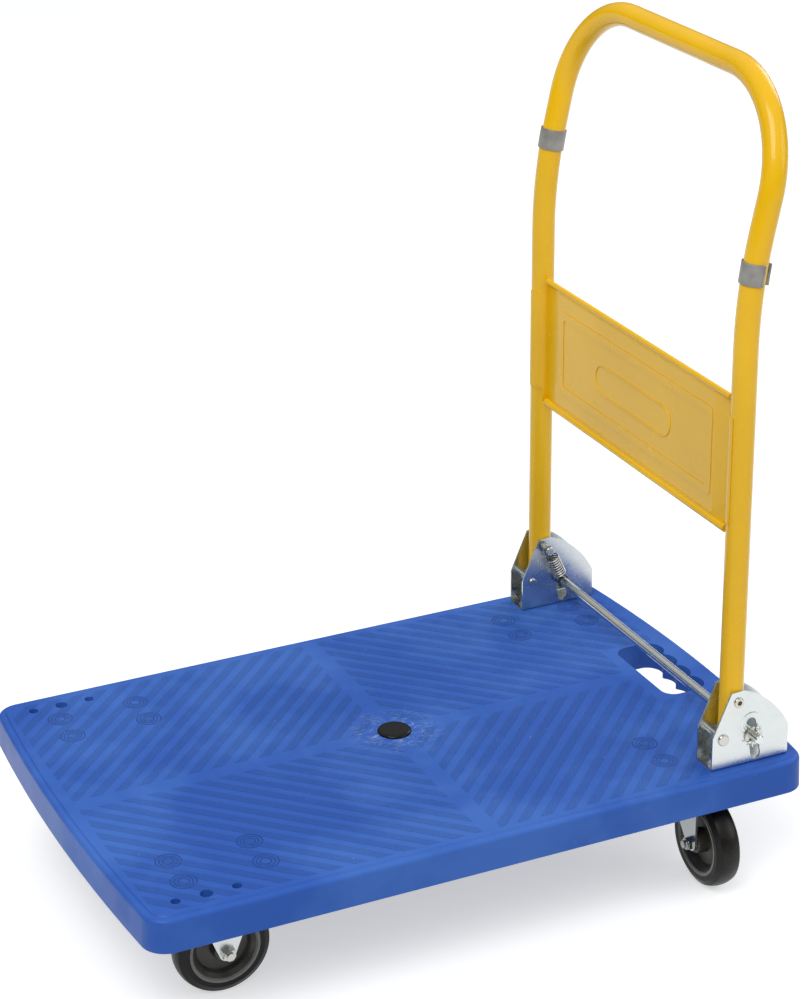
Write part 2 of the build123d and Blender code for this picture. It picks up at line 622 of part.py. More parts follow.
def stop_sleeve():
    """Spacer on the stop rivet, between the bracket's plates."""
    return (rod_y(STOP_X, BRACKET_INNER, BRACKET_OUTER, STOP_Z, STOP_RADIUS)
            - rod_y(STOP_X, BRACKET_INNER, BRACKET_OUTER, STOP_Z, STOP_RADIUS - STOP_SLEEVE_WALL))


def make_bracket_fasteners():
    bolts, washers, nuts = [], [], []
    base = DECK_TOP + BRACKET_WALL
    for x, y in bracket_bolts_xy():
        ring = rod_z(x, y, 0, WASHER_WALL, WASHER_RADIUS) - rod_z(x, y, 0, WASHER_WALL, BOLT_RADIUS)
        washers += [Pos(0, 0, base) * ring, Pos(0, 0, SEAT_Z - WASHER_WALL) * ring]
        head_z = base + WASHER_WALL
        bolts.append(rod_z(x, y, SEAT_Z - WASHER_WALL - NUT_HEIGHT - BOLT_TAIL, head_z, BOLT_RADIUS)
                     + Pos(x, y, head_z) * hexagon_prism(BOLT_HEAD))
        nuts.append(Pos(x, y, SEAT_Z - WASHER_WALL - NUT_HEIGHT)
                    * (hexagon_prism(NUT_HEIGHT) - rod_z(0, 0, -1, NUT_HEIGHT + 1, BOLT_RADIUS)))
    add("bracket_bolts", *bolts)
    add("bracket_washers", *washers)
    add("bracket_nuts", *nuts)


# --- lock -----------------------------------------------------------------------
def split_pin_line():
    """Middle of the left split pin and the direction towards its eye."""
    face = BRACKET_OUTER + BRACKET_WALL + FREE_GAP + LOCK_WASHER_WALL
    middle = Vector(LOCK_X, face + SPLIT_PIN_RADIUS + FREE_GAP, LOCK_Z)
    return middle, Vector(-sin(radians(SPLIT_PIN_LEAN)), 0, cos(radians(SPLIT_PIN_LEAN)))


def lock_rod():
    """Foot rod with chamfered ends, cross drilled for the split pins."""
    end = BRACKET_OUTER + BRACKET_WALL + LOCK_END
    bar = rod_y(LOCK_X, -end, end, LOCK_Z, LOCK_RADIUS)
    bar = chamfer(bar.edges().filter_by(GeomType.CIRCLE), 1)
    middle, along = split_pin_line()
    hole = rod(middle - along * 2 * LOCK_RADIUS, middle + along * 2 * LOCK_RADIUS, SPLIT_PIN_HOLE)
    return bar - hole - hole.mirror(Plane.XZ)


def rod_washer(y, wall, radius):
    """Washer on the rod, from y outwards."""
    return (rod_y(LOCK_X, y, y + wall, LOCK_Z, radius)
            - rod_y(LOCK_X, y, y + wall, LOCK_Z, LOCK_RADIUS + RUNNING_GAP))


def split_pin():
    """Left split pin: an eye, a body through the rod and two splayed legs."""
    middle, along = split_pin_line()
    across = along.cross(Vector(0, 1, 0))
    foot = middle - along * (1.6 * LOCK_RADIUS)
    top = middle + along * (1.25 * LOCK_RADIUS)
    pin = rod(foot, top, SPLIT_PIN_RADIUS)
    eye = Plane(origin=top + along * (EYE_RADIUS - 0.2), z_dir=(0, 1, 0))
    pin += Location(eye) * Torus(EYE_RADIUS, EYE_WIRE)
    splay = radians(PIN_LEG_SPLAY)
    for sign in (1, -1):
        leg = (across * (sign * sin(splay)) - along * cos(splay)) * PIN_LEG_LENGTH
        pin += rod(foot, foot + leg, EYE_WIRE)
    return pin


def make_lock():
    """Foot rod with washers and split pins outside the brackets."""
    add("lock_rod", lock_rod())
    outer = rod_washer(BRACKET_OUTER + BRACKET_WALL + FREE_GAP, LOCK_WASHER_WALL, LOCK_WASHER_RADIUS)
    inner_y = BRACKET_INNER - BRACKET_WALL - FREE_GAP - INNER_WASHER_WALL
    inner = rod_washer(inner_y, INNER_WASHER_WALL, INNER_WASHER_RADIUS)
    add("lock_washers", *both_ways(outer), *both_ways(inner))
    add("split_pins", *both_ways(split_pin()))


def make_spring():
    """Left lock spring: close coils with a loop round the pivot and one round the rod.

    A bead covers each end of the coil, where a straight link runs on to the loop.
    """
    y = BRACKET_INNER - BRACKET_WALL - SPRING_OUT
    top = Vector(LEG_X, y, PIVOT_Z)
    bottom = Vector(LOCK_X, y, LOCK_Z)
    along = (bottom - top).normalized()
    top_loop = PIVOT_RADIUS + FREE_GAP + SPRING_WIRE
    low_loop = LOCK_RADIUS + FREE_GAP + SPRING_WIRE
    start = top + along * (top_loop + 3 * SPRING_WIRE)
    length = (bottom - top).length - top_loop - low_loop - 6 * SPRING_WIRE
    plane = Plane(origin=start, x_dir=along.cross(Vector(0, 1, 0)), z_dir=along)
    helix = Helix(pitch=length / SPRING_COILS, height=length, radius=SPRING_RADIUS)
    wire = Circle(SPRING_WIRE)
    coil = sweep(Plane(origin=helix @ 0, z_dir=helix % 0) * wire, path=helix, is_frenet=True)
    spring = Location(plane) * coil
    for centre, loop, sign, end in ((top, top_loop, 1, 0), (bottom, low_loop, -1, 1)):
        ring = Location(Plane(origin=centre, z_dir=(0, 1, 0))) * Torus(loop, SPRING_WIRE)
        near = centre + along * (sign * loop)
        tip = plane.from_local_coords(helix @ end)
        spring += ring + rod(near, tip, SPRING_LINK) + Pos(*tip) * Sphere(SPRING_BEAD)
    return spring


# --- handle ---------------------------------------------------------------------
def handle_path():
    """Centre line of the handle's tube, from the left end round to the right one."""
    foot = PIVOT_Z - TUBE_END_RADIUS - 5
    left = [(LEG_X, LEG_Y, foot), (LEG_X, LEG_Y, BEND_Z), (BAR_X, LEG_Y, BAR_Z)]
    right = [(x, -y, z) for x, y, z in reversed(left)]
    radii = [BEND_RADIUS, BAR_CORNER_RADIUS, BAR_CORNER_RADIUS, BEND_RADIUS]
    return FilletPolyline(*left, *right, radius=radii)


def make_handle_tube():
    """Bent tube, its ends rounded off about the pivot and drilled for it."""
    path = handle_path()
    section = Circle(TUBE_RADIUS) - Circle(TUBE_RADIUS - TUBE_WALL)
    tube = sweep(Plane(origin=path @ 0, z_dir=path % 0) * section, path=path)
    below = box(LEG_X - 60, LEG_X + 60, -DECK_WIDTH, DECK_WIDTH, DECK_TOP, PIVOT_Z)
    tube -= below - rod_y(LEG_X, -DECK_WIDTH, DECK_WIDTH, PIVOT_Z, TUBE_END_RADIUS)
    return tube - rod_y(LEG_X, -DECK_WIDTH, DECK_WIDTH, PIVOT_Z, PIVOT_RADIUS + RUNNING_GAP)


def tube_clip(z, sign):
    """Sprung clip on the leg's bend, open towards the rear and outboard."""
    bend_start = BEND_Z - BEND_RADIUS * tan(radians(LEAN / 2))
    turn = asin((z - bend_start) / BEND_RADIUS)
    x = LEG_X - BEND_RADIUS * (1 - cos(turn))
    inner = TUBE_RADIUS + CLIP_FIT
    ring = Circle(inner + CLIP_WALL) - Circle(inner)
    half = radians(CLIP_GAP_ANGLE / 2)
    reach = 2 * inner
    wedge = make_face(Polyline((0, 0), (reach, reach * tan(half)), (reach, -reach * tan(half)), close=True))
    ring -= Rot(0, 0, sign * CLIP_GAP_TOWARDS) * wedge
    clip = Pos(0, 0, -CLIP_HEIGHT / 2) * extrude(ring, CLIP_HEIGHT)
    return Pos(x, sign * LEG_Y, z) * Rot(0, -degrees(turn), 0) * clip


def panel_half_section():
    """Plan of the panel's left end: slanted strip and the tab round the leg."""
    reach = TUBE_RADIUS
    outer = reach + PANEL_WALL
    inboard = LEG_Y - reach
    face_x = LEG_X + PANEL_FACE_X
    strip = make_face(Polyline(
        (face_x, inboard - PANEL_END_STRIP), (LEG_X, inboard - PANEL_WALL), (LEG_X, inboard),
        (LEG_X - PANEL_WALL, inboard - PANEL_WALL),
        (face_x - PANEL_WALL, inboard - PANEL_END_STRIP), close=True))
    ring = Pos(LEG_X, LEG_Y) * (Circle(outer) - Circle(reach))
    past = radians(TAB_PAST_FRONT)
    far = 3 * outer
    keep = make_face(Polyline((0, 0), (0, -far), (far, -far), (far, far * tan(past)), close=True))
    return strip + (ring & (Pos(LEG_X, LEG_Y) * keep))


def make_cross_panel():
    """Pressed sheet between the legs: rolled rims, end tabs and a raised border."""
    inboard = LEG_Y - TUBE_RADIUS
    face_x = LEG_X + PANEL_FACE_X
    flat = inboard - PANEL_END_STRIP
    sheet = box(face_x - PANEL_WALL, face_x, -flat, flat, PANEL_BOTTOM, PANEL_TOP)
    roll_end = inboard - ROLL_SHORT
    sheet += rod_y(face_x - 1, -roll_end, roll_end, PANEL_TOP, TOP_ROLL_RADIUS)
    sheet += rod_y(face_x - 1, -roll_end, roll_end, PANEL_BOTTOM, BOTTOM_ROLL_RADIUS)
    low = PANEL_BOTTOM + PANEL_TAB_DROP
    high = PANEL_TOP - PANEL_TAB_DROP
    tab = Pos(0, 0, low) * extrude(panel_half_section(), high - low)
    strip_only = panel_half_section() & (Pos(LEG_X, 0) * Rectangle(60, 2 * inboard))
    strip = Pos(0, 0, PANEL_BOTTOM) * extrude(strip_only, PANEL_TOP - PANEL_BOTTOM)
    for piece in (tab, strip):
        sheet += piece
        sheet += piece.mirror(Plane.XZ)
    return sheet + raised_border(face_x, flat)


def raised_border(face_x, flat):
    """A low raised frame on the panel's face."""
    height = PANEL_TOP - PANEL_BOTTOM - 2 * BORDER_INSET
    middle = (PANEL_TOP + PANEL_BOTTOM) / 2
    plane = Plane(origin=(face_x - PANEL_WALL / 2, 0, middle), x_dir=(0, 1, 0), z_dir=(1, 0, 0))
    outer = fillet(Rectangle(2 * flat - BORDER_WIDTH, height).vertices(), BORDER_WIDTH * 0.7)
    inner = Rectangle(2 * flat - 3 * BORDER_WIDTH, height - 2 * BORDER_WIDTH)
    inner = fillet(inner.vertices(), BORDER_WIDTH * 0.4)
    return plane * extrude(outer - inner, BORDER_RISE + PANEL_WALL / 2)


# --- whole cart -------------------------------------------------------------------
def build():
    add("deck", make_deck())
    add("centre_cap", make_cap())
    add_pair("bracket", make_bracket())
    add_pair("pivot_rivet", pivot_rivet())
    add_pair("stop_rivet", stop_rivet())
    add_pair("stop_sleeve", stop_sleeve())
    make_bracket_fasteners()
    make_casters()
    add("handle_tube", make_handle_tube())
    add("cross_panel", make_cross_panel())
    add("tube_clip_left", tube_clip(LEFT_CLIP_Z, 1))
    add("tube_clip_right", tube_clip(RIGHT_CLIP_Z, -1))
    make_lock()
    add_pair("lock_spring", make_spring())


build()
os.makedirs("parts", exist_ok=True)
for name, shape in nodes.items():
    export_step(shape, f"parts/{name}.step")
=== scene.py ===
"""Finishes and fine detail for a folding platform cart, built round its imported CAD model.

Metres. +X is the way the cart is pushed, so the handle stands at the -X end, and +Y is its left.
"""

import math

import bmesh
import bpy
from mathutils import Matrix, Vector


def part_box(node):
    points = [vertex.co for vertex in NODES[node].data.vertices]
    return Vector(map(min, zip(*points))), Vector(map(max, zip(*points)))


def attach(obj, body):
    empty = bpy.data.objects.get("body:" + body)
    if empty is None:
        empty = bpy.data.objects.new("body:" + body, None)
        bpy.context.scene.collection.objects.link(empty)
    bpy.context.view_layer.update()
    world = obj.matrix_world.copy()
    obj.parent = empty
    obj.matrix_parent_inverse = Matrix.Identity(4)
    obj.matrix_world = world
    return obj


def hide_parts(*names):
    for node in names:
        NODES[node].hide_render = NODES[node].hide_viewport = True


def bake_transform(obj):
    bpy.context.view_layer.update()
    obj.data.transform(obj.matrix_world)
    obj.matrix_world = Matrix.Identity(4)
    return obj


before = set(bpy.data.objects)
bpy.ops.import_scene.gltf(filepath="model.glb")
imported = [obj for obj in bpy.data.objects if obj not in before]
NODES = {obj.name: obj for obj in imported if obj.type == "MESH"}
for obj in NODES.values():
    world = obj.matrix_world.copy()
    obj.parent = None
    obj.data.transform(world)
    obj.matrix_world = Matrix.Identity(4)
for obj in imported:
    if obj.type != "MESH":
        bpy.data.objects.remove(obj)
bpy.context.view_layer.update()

bl_info = {
    "name": "Platform cart looks",
    "version": (1, 0, 0),
    "blender": (4, 5, 0),
    "location": "3D View > Sidebar > Cart",
    "description": "Dresses the packed platform cart with its finishes and moulded detail",
    "category": "Object",
}

X, Y, Z = Vector((1, 0, 0)), Vector((0, 1, 0)), Vector((0, 0, 1))
SIDES = {"left": 1.0, "right": -1.0}
ENDS = ("front", "rear")
MM = 0.001


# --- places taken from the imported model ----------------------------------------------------
def middle(node):
    """Centre of a CAD node's box."""
    low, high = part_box(node)
    return (low + high) / 2


DECK_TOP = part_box("bracket_left")[0].z
PIVOT = middle("pivot_rivet_left")
ROD = middle("lock_rod")
SLOPE = math.radians(10)

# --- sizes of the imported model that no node's box gives --------------------------------------
ROD_RADIUS = 5 * MM
RIVET_RADIUS = 4 * MM
LEG_Y = 0.2075
BEND_FOOT = 0.5934              # height where the legs start to curve back
BEND_RADIUS = 0.560
PANEL_FACE = 4.2 * MM           # front of the cross panel, ahead of the handle's pivot
PANEL_HALF_WIDTH = 0.195
SLOT_RISE = 15 * MM             # top of the lock slot above the resting rod, along the slope
SCREW_ALONG, SCREW_ACROSS = 42.5 * MM, 20.5 * MM
TIE_X, TIE_Y, TIE_PITCH = 0.296, 0.210, 31.3 * MM
TYRE_CROWN = (0.0480, 0.0497)   # radii between which the tread turns dusty
RIM_EDGE = (0.0331, 0.0335)     # radii between which the web ends and the rim starts


# --- what a user would change --------------------------------------------------------------
def colour(name, description, default):
    return bpy.props.FloatVectorProperty(
        name=name, description=description, subtype="COLOR", size=3, min=0, max=1, default=default)


def length(name, description, default):
    return bpy.props.FloatProperty(
        name=name, description=description, subtype="DISTANCE", unit="LENGTH", default=default)


def share(name, description, default):
    return bpy.props.FloatProperty(
        name=name, description=description, subtype="FACTOR", min=0, max=1, default=default)


class CartDeckLooks(bpy.types.PropertyGroup):
    blue: colour("Blue", "Colour of the moulded deck", (0.024, 0.092, 0.392))
    pale_blue: colour("Pale blue", "Deck where feet have polished it", (0.044, 0.134, 0.462))
    pitch: length("Tread pitch", "Tread stripes, measured along either side of the deck", 0.02626)
    first: length("First stripe", "Middle of the first stippled stripe from the deck's middle", 0.0226)
    stripe: share("Stripe share", "Width of a stippled stripe as a share of the pitch", 0.52)
    rise: length("Tread rise", "Height of the stippled stripes", 0.00018)
    cross: length("Cross band", "Half width of the plain bands through the middle", 0.0103)
    margin: length("Plain margin", "Plain border inside the deck's raised edge", 0.0165)
    ring_pitch: length("Ring pitch", "Between the rings over each caster screw", 0.0036)
    ring_radius: length("Ring radius", "Outer ring over each caster screw", 0.0128)


class CartPaintLooks(bpy.types.PropertyGroup):
    yellow: colour("Yellow", "Powder coat on the handle", (0.820, 0.468, 0.004))
    gloss: share("Roughness", "Roughness of the powder coat", 0.22)
    peel: length("Orange peel", "Size of the ripples in the powder coat", 0.0025)
    clip_grey: colour("Clip grey", "Sprung clips on the legs", (0.300, 0.290, 0.265))


class CartMetalLooks(bpy.types.PropertyGroup):
    zinc: colour("Zinc", "Bright zinc plate", (0.620, 0.660, 0.675))
    zinc_rough: share("Zinc roughness", "Roughness of the zinc plate", 0.24)
    spring: colour("Spring", "Spring wire", (0.700, 0.685, 0.650))
    wire: length("Spring wire", "Radius of the spring wire", 0.00075)
    coil: length("Spring coil", "Radius of the coil's centre line", 0.0072)
    turns: bpy.props.IntProperty(
        name="Turns", description="Coils in each spring", default=9, min=4, max=20)


class CartWheelLooks(bpy.types.PropertyGroup):
    tyre: colour("Tyre", "Solid tyre", (0.0042, 0.0038, 0.0030))
    web: colour("Web", "Dished web of the wheel", (0.036, 0.033, 0.024))
    rim: colour("Rim", "Lighter ring at the wheel's rim", (0.215, 0.210, 0.188))


class CartStageLooks(bpy.types.PropertyGroup):
    floor: colour("Floor", "Plain pale floor", (0.62, 0.62, 0.62))
    place: bpy.props.FloatVectorProperty(
        name="Camera", description="Where the camera stands", subtype="XYZ", unit="LENGTH",
        default=(1.0895, 2.3378, 1.5533))
    turn: bpy.props.FloatVectorProperty(
        name="Camera turn", description="Which way the camera looks", subtype="EULER", unit="ROTATION",
        default=(math.radians(67.0904), math.radians(0.4359), math.radians(154.585)))
    lens: bpy.props.FloatProperty(
        name="Lens", description="Focal length on a 36 mm sensor", subtype="DISTANCE_CAMERA",
        default=100.19)
    rise: bpy.props.FloatProperty(
        name="Lens shift", description="Upward shift of the lens", default=-0.0496)


# --- materials -----------------------------------------------------------------------------
class Finish:
    """One material and a few short ways to wire its nodes."""

    def __init__(self, name):
        self.material = bpy.data.materials.new(name)
        self.material.use_nodes = True
        self.nodes = self.material.node_tree.nodes
        self.shader = self.nodes["Principled BSDF"]
        self.coords = self.node("ShaderNodeTexCoord").outputs["Object"]

    def node(self, kind, inputs=(), **settings):
        made = self.nodes.new(kind)
        for key, value in settings.items():
            setattr(made, key, value)
        for key, value in dict(inputs).items():
            self.feed(value, made.inputs[key])
        return made

    def feed(self, value, socket):
        """Link an output, or set a plain value."""
        if isinstance(value, bpy.types.NodeSocket):
            self.material.node_tree.links.new(value, socket)
        else:
            socket.default_value = value

    def set(self, **values):
        for key, value in values.items():
            self.feed(value, self.shader.inputs[key.replace("_", " ")])
        return self

    def placed(self, location=(0, 0, 0), rotation=(0, 0, 0), scale=(1, 1, 1)):
        mapping = self.node("ShaderNodeMapping", {
            "Vector": self.coords, "Location": location, "Rotation": rotation, "Scale": scale})
        return mapping.outputs["Vector"]

    def noise(self, per_metre, detail=3.0, rough=0.55, where=None, distortion=0.0):
        made = self.node("ShaderNodeTexNoise", {
            "Vector": where or self.coords, "Scale": per_metre, "Detail": detail,
            "Roughness": rough, "Distortion": distortion})
        return made.outputs["Fac"]

    def cells(self, per_metre, where=None, randomness=1.0):
        made = self.node("ShaderNodeTexVoronoi", {
            "Vector": where or self.coords, "Scale": per_metre,
            "Randomness": randomness})
        return made.outputs["Distance"]

    def maths(self, operation, first, second=0.0, third=0.0, clamp=False):
        made = self.node("ShaderNodeMath", {0: first, 1: second, 2: third},
                         operation=operation, use_clamp=clamp)
        return made.outputs[0]

    def times(self, first, second):
        return self.maths("MULTIPLY", first, second)

    def plus(self, first, second, clamp=False):
        return self.maths("ADD", first, second, clamp=clamp)

    def between(self, value, low, high, start=0.0, end=1.0):
        """start below low, end above high, and smooth between."""
        made = self.node("ShaderNodeMapRange", {
            "Value": value, "From Min": low, "From Max": high, "To Min": start, "To Max": end},
            interpolation_type="SMOOTHSTEP")
        return made.outputs["Result"]

    def blend(self, share, first, second):
        made = self.node("ShaderNodeMix", data_type="RGBA")
        for key, value in ((0, share), (6, first), (7, second)):
            self.feed((*value, 1) if isinstance(value, tuple) else value, made.inputs[key])
        return made.outputs[2]

    def split(self, vector=None):
        return self.node("ShaderNodeSeparateXYZ", {0: vector or self.coords}).outputs

    def bump(self, height, distance):
        made = self.node("ShaderNodeBump", {
            "Height": height, "Distance": distance, "Strength": 1.0})
        return made.outputs["Normal"]


def shade(value, factor):
    return tuple(min(1.0, c * factor) for c in value)


def dress(material, *names):
    """Give CAD nodes their finish."""
    for name in names:
        for slot in NODES[name].material_slots:
            slot.material = material


def both(name):
    return [f"{name}_{side}" for side in SIDES]


def corners(name):
    return [f"{name}_{end}_{side}" for end in ENDS for side in SIDES]


def deck_plastic(looks, name="deck_plastic", stippled=False, tone=1.0):
    """Blue moulded plastic with polished patches, scuffs round the cap and grit specks; stippled, it
    has painted shade between the pips.
    """
    finish = Finish(name)
    patches = finish.between(finish.noise(6.0, 4.0, 0.6), 0.40, 0.66)
    # tone scales the whole colour; below 1 it is painted shade, as on the ring marks.
    base = finish.blend(patches, shade(looks.blue, tone), shade(looks.pale_blue, tone))
    from_cap = finish.node("ShaderNodeVectorMath", {0: finish.placed((0, 0, -DECK_TOP))},
                           operation="LENGTH")
    near_cap = finish.between(from_cap.outputs["Value"], 0.022, 0.060, 1.0, 0.0)
    streaks = finish.noise(95.0, 6.0, 0.72, finish.placed(rotation=(0, 0, 0.5), scale=(1, 2.6, 1)), 1.2)
    worn = finish.times(near_cap, finish.between(streaks, 0.50, 0.70))
    specks = finish.between(finish.cells(75.0), 0.035, 0.055, 1.0, 0.0)
    rare = finish.between(finish.noise(23.0, 2.0), 0.60, 0.66)
    drag = finish.noise(60.0, 5.0, 0.7, finish.placed(rotation=(0, 0, -0.9), scale=(1, 9, 1)), 0.4)
    drags = finish.times(finish.between(drag, 0.66, 0.74),
                         finish.between(finish.noise(9.0, 2.0), 0.56, 0.64))
    grit = finish.times(finish.times(specks, rare), 0.45)
    scuffs = finish.plus(finish.times(worn, 0.50),
                         finish.plus(grit, finish.times(drags, 0.28)), clamp=True)
    grain = finish.noise(1900.0, 2.0)
    relief = grain
    depth = 0.00006
    if stippled:
        across = finish.placed(rotation=(0, 0, math.pi / 4), scale=(1, 0.62, 1))
        pips = finish.between(finish.cells(520.0, across, 0.25), 0.14, 0.50, 1.0, 0.0)
        relief = finish.plus(pips, finish.times(grain, 0.2))
        depth = 0.00014
        # Painted shade: the blue is darkened between the pips, where the stipple sinks lowest.
        painted_shade_between_pips = 0.78
        dark = finish.blend(patches, shade(looks.blue, painted_shade_between_pips),
                            shade(looks.pale_blue, painted_shade_between_pips))
        base = finish.blend(finish.between(pips, 0.1, 1.0), dark, base)
    coat = finish.blend(scuffs, base, (0.46, 0.58, 0.72))
    rough = finish.plus(finish.between(finish.noise(14.0, 5.0), 0.3, 0.75, 0.34, 0.50),
                        finish.times(scuffs, 0.25))
    finish.set(Base_Color=coat, Roughness=rough, Normal=finish.bump(relief, depth))
    finish.shader.inputs["Specular IOR Level"].default_value = 0.17
    return finish.material


def black_plastic():
    finish = Finish("black_plastic")
    dust = finish.between(finish.noise(90.0, 6.0, 0.7), 0.50, 0.78)
    coat = finish.blend(dust, (0.0045, 0.0045, 0.0042), (0.014, 0.0135, 0.012))
    finish.set(Base_Color=coat, Roughness=finish.between(dust, 0, 1, 0.26, 0.44),
               Normal=finish.bump(finish.noise(700.0), 0.00006))
    finish.shader.inputs["Specular IOR Level"].default_value = 0.20
    return finish.material


def zinc_plate(looks, name="zinc_steel", tint=1.0, rough=0.0, warmth=0.22):
    """Bright zinc: cloudy bluish patches, fine rolling lines and a few dull handling marks."""
    finish = Finish(name)
    clouds = finish.noise(26.0, 5.0, 0.62, distortion=0.8)
    base = finish.blend(finish.between(clouds, 0.30, 0.70), shade(looks.zinc, 0.93 * tint),
                        shade(looks.zinc, 1.02 * tint))
    warm = finish.between(finish.noise(13.0, 3.0), 0.52, 0.72)
    base = finish.blend(finish.between(warm, 0, 1, warmth * 0.5, warmth), base,
                        shade((0.70, 0.64, 0.48), tint))
    lines = finish.noise(420.0, 4.0, 0.6, finish.placed(scale=(0.06, 1, 1)))
    marks = finish.between(finish.noise(150.0, 6.0, 0.75), 0.60, 0.74)
    base_rough = looks.zinc_rough + rough
    cloudy = finish.between(clouds, 0.25, 0.75, base_rough - 0.06, base_rough + 0.08)
    roughness = finish.plus(cloudy, finish.times(marks, 0.14))
    relief = finish.plus(finish.times(lines, 0.35), finish.times(clouds, 0.9))
    finish.set(Base_Color=base, Roughness=roughness, Normal=finish.bump(relief, 0.00008))
    finish.shader.inputs["Metallic"].default_value = 1.0
    return finish.material


def spring_steel(looks, name="spring_steel", coil=None):
    """Drawn wire. In a coil its colour is darkened towards the inside, a painted shade where the next
    turn would shade it.
    """
    finish = Finish(name)
    drawn = finish.noise(600.0, 4.0)
    base = finish.blend(finish.between(finish.noise(160.0, 4.0), 0.35, 0.7), shade(looks.spring, 0.75),
                        shade(looks.spring, 1.12))
    if coil:
        end, lean = coil
        x, y, z = finish.split(finish.placed((-end.x, 0, -end.z)))
        inboard = finish.maths("SUBTRACT", finish.maths("ABSOLUTE", y), abs(end.y))
        across = finish.maths("SUBTRACT", finish.times(x, math.cos(lean)),
                              finish.times(z, math.sin(lean)))
        squares = finish.plus(finish.times(across, across), finish.times(inboard, inboard))
        out = finish.maths("POWER", squares, 0.5)
        # Painted shade: the wire's side towards the coil's axis is darkened to 0.12 of the spring
        # colour.
        painted_shade = finish.between(out, looks.coil - 0.5 * looks.wire,
                                looks.coil + 0.3 * looks.wire, 1.0, 0.0)
        base = finish.blend(painted_shade, base, shade(looks.spring, 0.12))
    finish.set(Base_Color=base, Roughness=finish.between(drawn, 0.3, 0.7, 0.24, 0.42),
               Normal=finish.bump(drawn, 0.00003))
    finish.shader.inputs["Metallic"].default_value = 1.0
    return finish.material


def powder_coat(looks):
    """Yellow powder coat with a slight ripple and a clear gloss."""
    finish = Finish("yellow_paint")
    drift = finish.between(finish.noise(5.0, 4.0), 0.3, 0.7)
    base = finish.blend(drift, shade(looks.yellow, 0.94), shade(looks.yellow, 1.05))
    dirt = finish.between(finish.noise(240.0, 6.0, 0.7), 0.70, 0.80)
    base = finish.blend(finish.times(dirt, 0.25), base, shade(looks.yellow, 0.5))
    peel = finish.noise(1.0 / looks.peel, 2.0)
    fine = finish.noise(3.2 / looks.peel, 2.0)
    relief = finish.plus(peel, finish.times(fine, 0.25))
    rough = finish.between(finish.noise(18.0, 4.0), 0.3, 0.75, looks.gloss - 0.04, looks.gloss + 0.08)
    finish.set(Base_Color=base, Roughness=rough, Normal=finish.bump(relief, 0.00009))
    finish.shader.inputs["Specular IOR Level"].default_value = 0.22
    finish.shader.inputs["Coat Weight"].default_value = 0.25
    finish.shader.inputs["Coat Roughness"].default_value = 0.08
    return finish.material


def grey_clip(looks):
    finish = Finish("grey_clip")
    patches = finish.between(finish.noise(70.0, 5.0), 0.35, 0.7)
    base = finish.blend(patches, shade(looks.clip_grey, 0.82), shade(looks.clip_grey, 1.1))
    finish.set(Base_Color=base, Roughness=finish.between(patches, 0, 1, 0.34, 0.46),
               Normal=finish.bump(finish.noise(900.0), 0.00008))
    finish.shader.inputs["Metallic"].default_value = 0.35
    return finish.material


def across_wheel(finish, centre, axle):
    """Distance from a wheel's axle line."""
    flat = (0, 1, 1) if axle == X else (1, 0, 1)
    where = finish.placed(location=tuple(-c * f for c, f in zip(centre, flat)), scale=flat)
    return finish.node("ShaderNodeVectorMath", {0: where}, operation="LENGTH").outputs["Value"]


def tyre_rubber(looks, name, centre, axle):
    """Black solid tyre: satin tread, dusty at its crown, with fine turned lines on the side."""
    finish = Finish(name)
    out = across_wheel(finish, centre, axle)
    dust = finish.times(finish.between(out, *TYRE_CROWN),
                        finish.between(finish.noise(110.0, 6.0, 0.7), 0.4, 0.7))
    base = finish.blend(finish.times(dust, 0.5), tuple(looks.tyre), (0.026, 0.022, 0.016))
    lines = finish.maths("SINE", finish.times(out, 5200.0))
    relief = finish.plus(finish.times(lines, 0.12), finish.noise(800.0, 3.0))
    finish.set(Base_Color=base, Roughness=finish.between(finish.noise(60.0, 4.0), 0.3, 0.7, 0.30, 0.44),
               Normal=finish.bump(relief, 0.00007))
    finish.shader.inputs["Specular IOR Level"].default_value = 0.24
    return finish.material


def wheel_plastic(looks, name, centre, axle):
    """Dark web with a lighter ring where the rim is trimmed."""
    finish = Finish(name)
    out = across_wheel(finish, centre, axle)
    ring = finish.between(out, *RIM_EDGE)
    mottle = finish.between(finish.noise(120.0, 5.0), 0.35, 0.7)
    web = finish.blend(mottle, shade(looks.web, 0.85), shade(looks.web, 1.15))
    rim = finish.blend(mottle, shade(looks.rim, 0.8), shade(looks.rim, 1.05))
    base = finish.blend(ring, web, rim)
    finish.set(Base_Color=base, Roughness=finish.between(mottle, 0, 1, 0.36, 0.50),
               Normal=finish.bump(finish.noise(900.0), 0.00006))
    return finish.material


def floor_paint(looks):
    """Pale paint that glows to the camera and in reflections, but lights nothing."""
    finish = Finish("pale_floor")
    glow = 0.52
    tone = finish.between(finish.noise(0.7, 2.0), 0.3, 0.7)
    base = finish.blend(tone, shade(looks.floor, 0.99), tuple(looks.floor))
    finish.set(Base_Color=base)
    finish.shader.inputs["Emission Color"].default_value = (1, 1, 1, 1)
    path = finish.node("ShaderNodeLightPath").outputs
    seen = finish.maths("MAXIMUM", path["Is Camera Ray"], path["Is Glossy Ray"])
    finish.feed(finish.times(seen, glow), finish.shader.inputs["Emission Strength"])
    finish.shader.inputs["Roughness"].default_value = 0.9
    finish.shader.inputs["Specular IOR Level"].default_value = 0.1
    return finish.material


# --- shaping helpers -----------------------------------------------------------------------
def everything(shape):
    return shape.verts[:] + shape.edges[:] + shape.faces[:]


def new_verts(result):
    """The vertices that a bmesh operator made."""
    return [made for made in result["geom"] if isinstance(made, bmesh.types.BMVert)]


def evaluated(obj):
    """The object's mesh once its bevel or modifiers are applied."""
    graph = bpy.context.evaluated_depsgraph_get()
    return bpy.data.meshes.new_from_object(obj.evaluated_get(graph))


